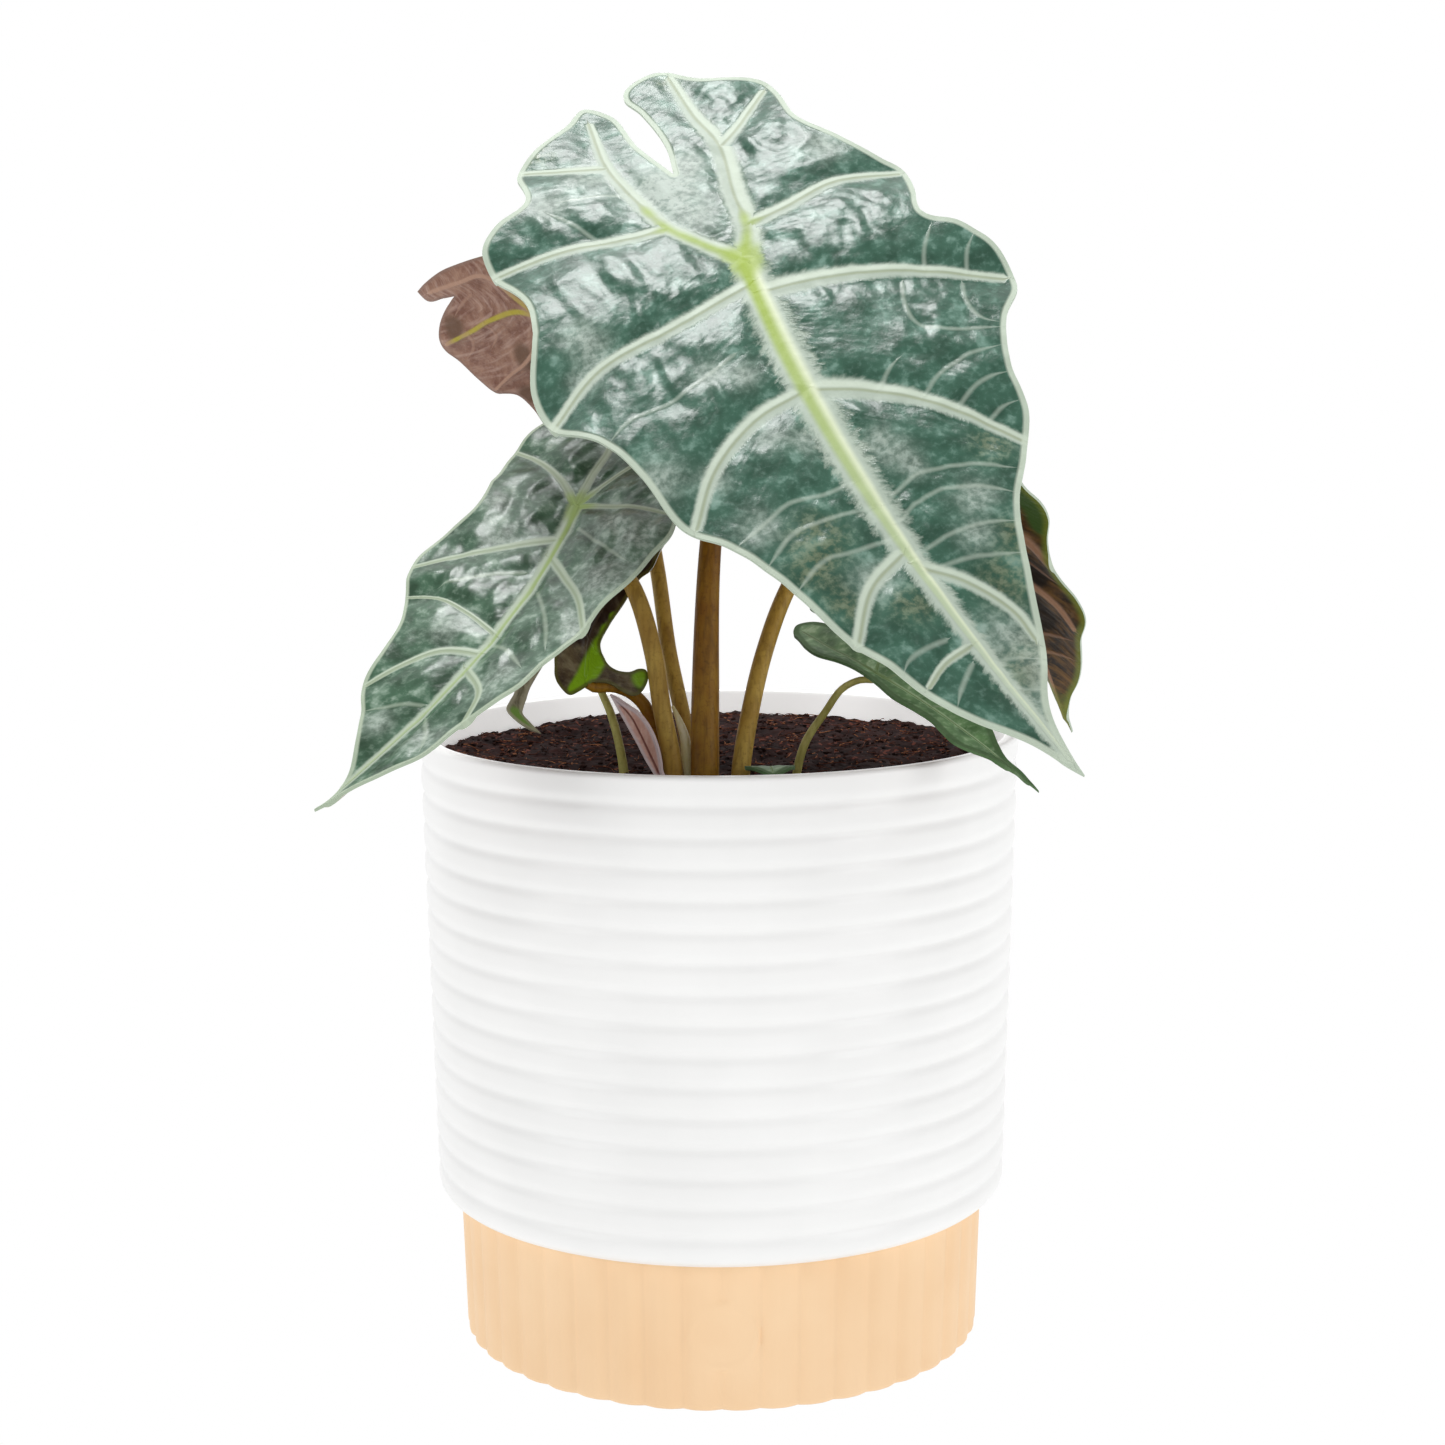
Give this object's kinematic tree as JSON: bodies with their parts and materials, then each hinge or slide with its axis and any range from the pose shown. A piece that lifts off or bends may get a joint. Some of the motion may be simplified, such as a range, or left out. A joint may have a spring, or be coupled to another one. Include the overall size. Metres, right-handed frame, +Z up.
{
  "type": "potted polly alocasia",
  "caption": "Polly alocasia with dark green, pale-veined arrow-shaped leaves in a ribbed white pot on a reeded tan base.",
  "frame": {"origin": "centre of the pot's flat underside", "axes": "+Z up along the pot's axis; -Y towards the viewer, the side that the large front leaf faces"},
  "size_m": [0.2015, 0.2012, 0.3508],
  "materials": {
    "white_plastic": "satin",
    "tan_plastic": "matte",
    "potting_mix": "matte",
    "green_blade": "satin",
    "brown_blade": "satin",
    "old_stem": "satin",
    "young_stem": "satin",
    "dry_sheath": "matte"
  },
  "bodies": {
    "root": {"pot_body": "white_plastic", "pot_base": "tan_plastic", "soil": "potting_mix", "front_leaf_blade": "green_blade", "front_leaf_petiole": "old_stem", "left_leaf_blade": "green_blade", "left_leaf_petiole": "old_stem", "back_left_leaf_blade": "brown_blade", "back_left_leaf_petiole": "old_stem", "back_right_leaf_blade": "brown_blade", "back_right_leaf_petiole": "old_stem", "low_right_leaf_blade": "green_blade", "low_right_leaf_petiole": "young_stem", "curled_leaf_blade": "brown_blade", "curled_leaf_petiole": "old_stem", "drooping_leaf_blade": "brown_blade", "drooping_leaf_petiole": "young_stem", "seedling_leaf_blade": "green_blade", "seedling_leaf_petiole": "young_stem", "new_shoot": "young_stem", "pink_sheath": "dry_sheath"}
  },
  "joints": []
}
